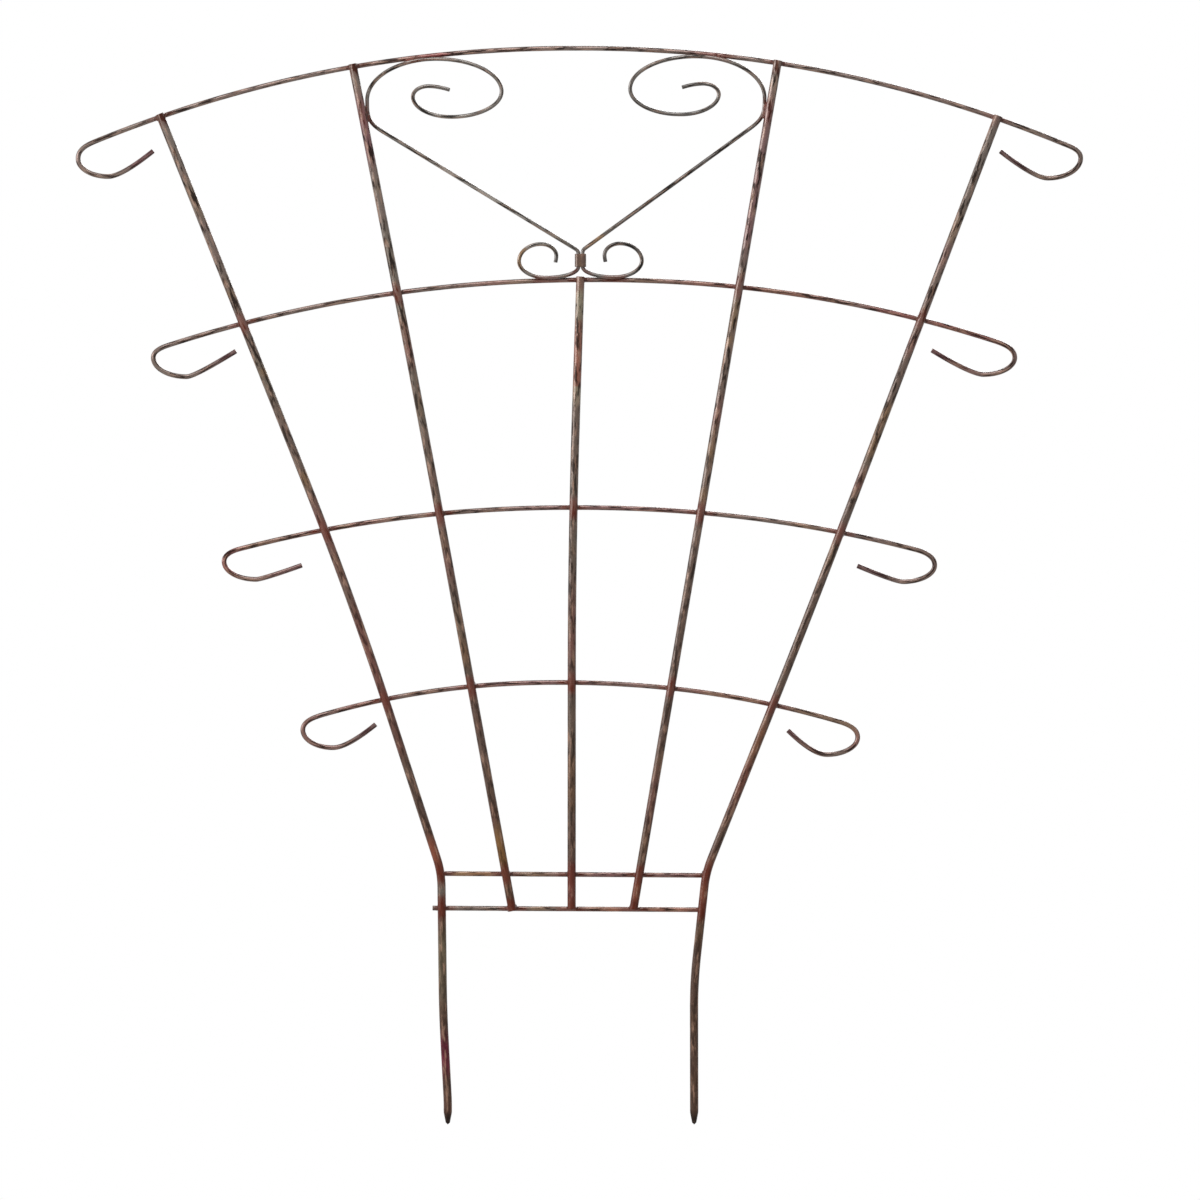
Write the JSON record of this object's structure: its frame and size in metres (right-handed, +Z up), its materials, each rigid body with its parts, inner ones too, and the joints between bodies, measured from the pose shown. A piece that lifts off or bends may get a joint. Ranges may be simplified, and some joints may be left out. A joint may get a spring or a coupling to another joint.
{
  "type": "fan trellis",
  "caption": "Flat fan trellis of welded bent rods on two stake legs: spread uprights, arched wires ending in hooks and a scroll heart at the top, to hold up climbing plants.",
  "frame": {"origin": "on the ground line, midway between the tips of the two stakes", "axes": "+Z up along the trellis, +X to the viewer's right, and the front faces -Y"},
  "size_m": [1.1384, 0.0153, 1.2189],
  "materials": {
    "upright": "satin brown powder coat with a bronze tint",
    "arch": "satin reddish brown powder coat",
    "crossbar": "satin reddish brown powder coat",
    "scroll": "satin grey-brown powder coat with golden brown tints",
    "collar": "satin brown powder coat",
    "weld": "rough reddish brown weld bead under the coat"
  },
  "bodies": {
    "root": {"left_outer_upright": "upright", "left_inner_upright": "upright", "centre_upright": "upright", "right_inner_upright": "upright", "right_outer_upright": "upright", "top_arch": "arch", "second_arch": "arch", "third_arch": "arch", "fourth_arch": "arch", "upper_crossbar": "crossbar", "lower_crossbar": "crossbar", "left_scroll": "scroll", "right_scroll": "scroll", "scroll_collar": "collar", "weld_top_arch_left_outer": "weld", "weld_top_arch_left_inner": "weld", "weld_top_arch_right_inner": "weld", "weld_top_arch_right_outer": "weld", "weld_second_arch_left_outer": "weld", "weld_second_arch_left_inner": "weld", "weld_second_arch_centre": "weld", "weld_second_arch_right_inner": "weld", "weld_second_arch_right_outer": "weld", "weld_third_arch_left_outer": "weld", "weld_third_arch_left_inner": "weld", "weld_third_arch_centre": "weld", "weld_third_arch_right_inner": "weld", "weld_third_arch_right_outer": "weld", "weld_fourth_arch_left_outer": "weld", "weld_fourth_arch_left_inner": "weld", "weld_fourth_arch_centre": "weld", "weld_fourth_arch_right_inner": "weld", "weld_fourth_arch_right_outer": "weld", "weld_upper_crossbar_left_outer": "weld", "weld_upper_crossbar_left_inner": "weld", "weld_upper_crossbar_centre": "weld", "weld_upper_crossbar_right_inner": "weld", "weld_upper_crossbar_right_outer": "weld", "weld_lower_crossbar_left_outer": "weld", "weld_lower_crossbar_left_inner": "weld", "weld_lower_crossbar_centre": "weld", "weld_lower_crossbar_right_inner": "weld", "weld_lower_crossbar_right_outer": "weld", "weld_left_scroll_left_inner_upright": "weld", "weld_left_scroll_top_arch": "weld", "weld_left_scroll_second_arch": "weld", "weld_right_scroll_right_inner_upright": "weld", "weld_right_scroll_top_arch": "weld", "weld_right_scroll_second_arch": "weld"}
  },
  "joints": []
}
